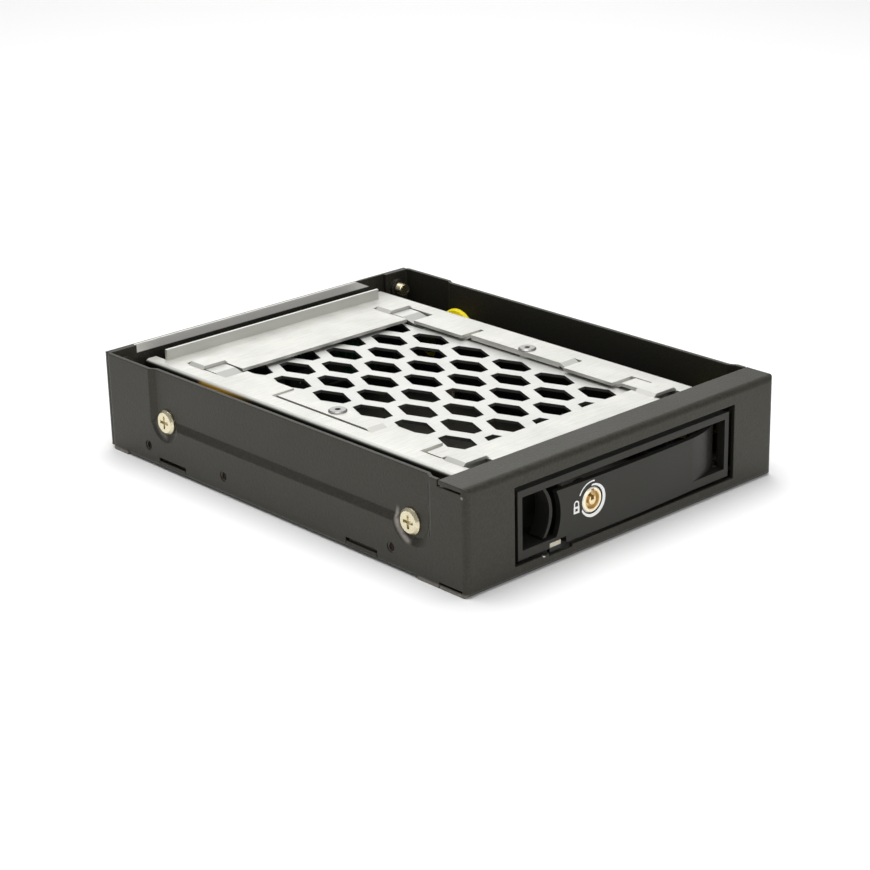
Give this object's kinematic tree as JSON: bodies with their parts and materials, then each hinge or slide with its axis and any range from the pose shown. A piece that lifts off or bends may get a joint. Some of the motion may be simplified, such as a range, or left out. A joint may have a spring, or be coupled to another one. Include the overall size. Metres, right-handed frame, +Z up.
{
  "type": "hard drive cage",
  "caption": "Lockable rack for a small drive in a larger bay: black folded housing, bare-steel cage with perforated top on rubber bushes, hinged front door with key lock, catch and ejector.",
  "frame": {"origin": "middle of the footprint, on the underside", "axes": "+X to the right seen from the front, +Y to the rear, +Z up"},
  "size_m": [0.1016, 0.1324, 0.0254],
  "materials": {
    "black_paint": "fine-grained black paint",
    "rear_sheet": "black paint with a bare strip inside",
    "nickel_screw": "nickel plate",
    "bare_steel": "bare zinc-plated sheet",
    "vent_steel": "bare punched sheet",
    "rivet_steel": "bare",
    "black_plastic": "moulded",
    "yellow_rubber": "moulded",
    "circuit_board": "solder mask",
    "brass": "turned",
    "spring_steel": "bare",
    "door_plastic": "fine-grained moulding"
  },
  "bodies": {
    "housing": {"housing_shell": "black_paint", "base_plate": "black_paint", "back_plate": "rear_sheet", "back_plate_screws": "nickel_screw", "drive_cage": "bare_steel", "vent_plate": "vent_steel", "vent_plate_rivets": "rivet_steel", "rivet_strips": "bare_steel", "guide_rail_left": "black_plastic", "guide_rail_right": "black_plastic", "rubber_bushes": "yellow_rubber", "cage_screws": "nickel_screw", "cage_nuts": "nickel_screw", "backplane_board": "circuit_board", "board_standoffs": "brass", "board_screws": "nickel_screw", "drive_connector": "black_plastic", "data_connector": "black_plastic", "power_connector": "black_plastic", "hinge_bracket": "spring_steel", "hinge_pin": "spring_steel", "ejector_studs": "nickel_screw"},
    "door": {"door_front": "door_plastic"},
    "lock": {"lock_barrel": "brass", "lock_cam": "spring_steel", "lock_clip": "spring_steel"},
    "latch": {"latch_trigger": "door_plastic", "latch_bolt": "spring_steel", "latch_spring": "spring_steel"},
    "ejector": {"ejector_bar": "spring_steel"}
  },
  "joints": [
    {"name": "door_hinge", "type": "hinge", "parent": "housing", "child": "door", "pos_m": [0.0389, -0.06285, 0.012], "axis": [0, 0, 1], "range_deg": [0, 95]},
    {"name": "lock_turn", "type": "hinge", "parent": "door", "child": "lock", "pos_m": [-0.012, -0.064, 0.01185], "axis": [0, -1, 0], "range_deg": [0, 90]},
    {"name": "latch_slide", "type": "slide", "parent": "door", "child": "latch", "axis": [1, 0, 0], "range_m": [0, 0.001], "stiffness_N_per_m": 200, "springref_m": -0.002, "deforming": ["latch_spring"]},
    {"name": "ejector_slide", "type": "slide", "parent": "housing", "child": "ejector", "axis": [0, -1, 0], "range_m": [0, 0.0087]}
  ],
  "couplings": [
    {"joint": "ejector_slide", "follows": "door_hinge", "m_per_rad": 0.00524}
  ]
}
